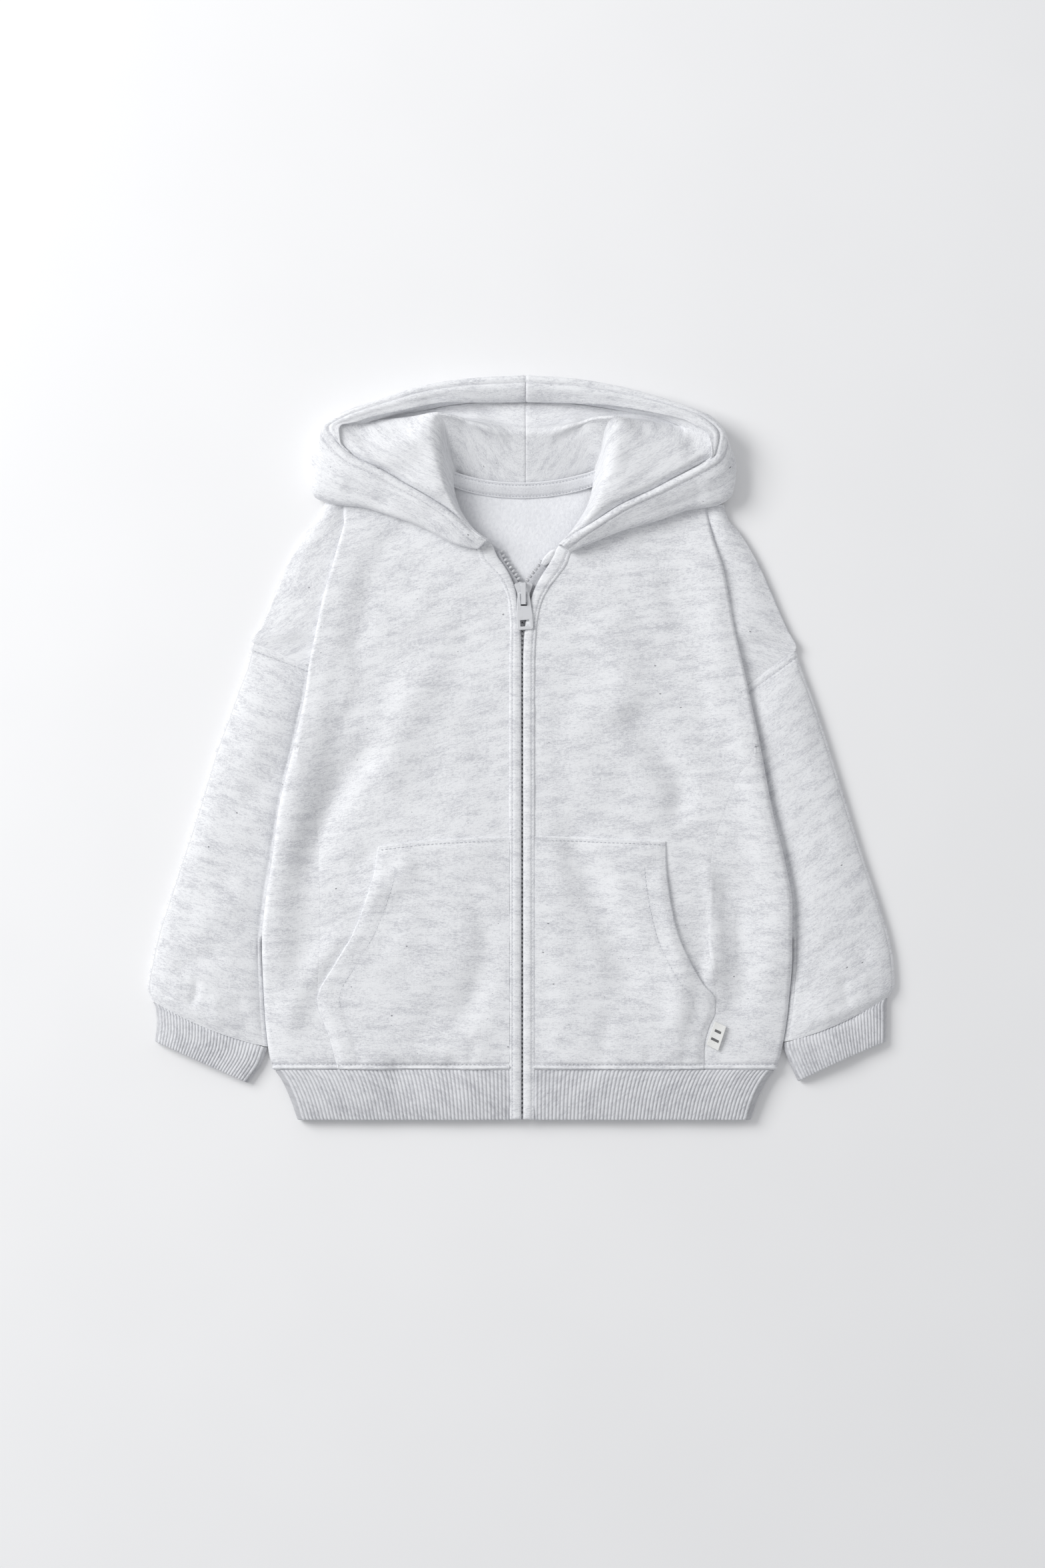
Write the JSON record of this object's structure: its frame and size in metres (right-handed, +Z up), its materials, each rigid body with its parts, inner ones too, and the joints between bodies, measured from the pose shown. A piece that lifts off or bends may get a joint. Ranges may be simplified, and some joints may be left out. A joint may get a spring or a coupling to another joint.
{
  "type": "toddler zip hoodie",
  "caption": "Toddler's zip-front hoodie in pale grey heather sweatshirt cloth, laid flat, with open hood, ribbed hem and cuffs, kangaroo pocket and a hinged zip pull.",
  "frame": {"origin": "centre of the bounding box at the surface that the garment rests on", "axes": "+Z up from the surface, +Y from hem to hood, +X to the wearer's left, the viewer's right from above"},
  "size_m": [0.4922, 0.4906, 0.0274],
  "materials": {
    "jersey": "brushed-back heather jersey, matt",
    "rib": "heather rib knit, matt",
    "tape": "jersey binding with two stitch rows",
    "zip": "woven zip tape with moulded grey teeth",
    "metal": "light grey satin enamel",
    "label": "smooth woven ribbon"
  },
  "bodies": {
    "garment": {"back_panel": "jersey", "front_right": "jersey", "sleeve_right": "jersey", "cuff_right": "rib", "pocket_right": "jersey", "hood_right": "jersey", "placket_right": "jersey", "zip_tape_right": "zip", "front_left": "jersey", "sleeve_left": "jersey", "cuff_left": "rib", "pocket_left": "jersey", "hood_left": "jersey", "placket_left": "jersey", "zip_tape_left": "zip", "hem_band": "rib", "neck_tape": "tape", "side_label": "label", "zip_slider": "metal"},
    "pull": {"zip_pull": "metal"}
  },
  "joints": [
    {"name": "pull_hinge", "type": "hinge", "parent": "garment", "child": "pull", "pos_m": [0.0015, 0.10195, 0.0095], "axis": [-0.9986, -0.0523, 0], "range_deg": [0, 150]}
  ]
}
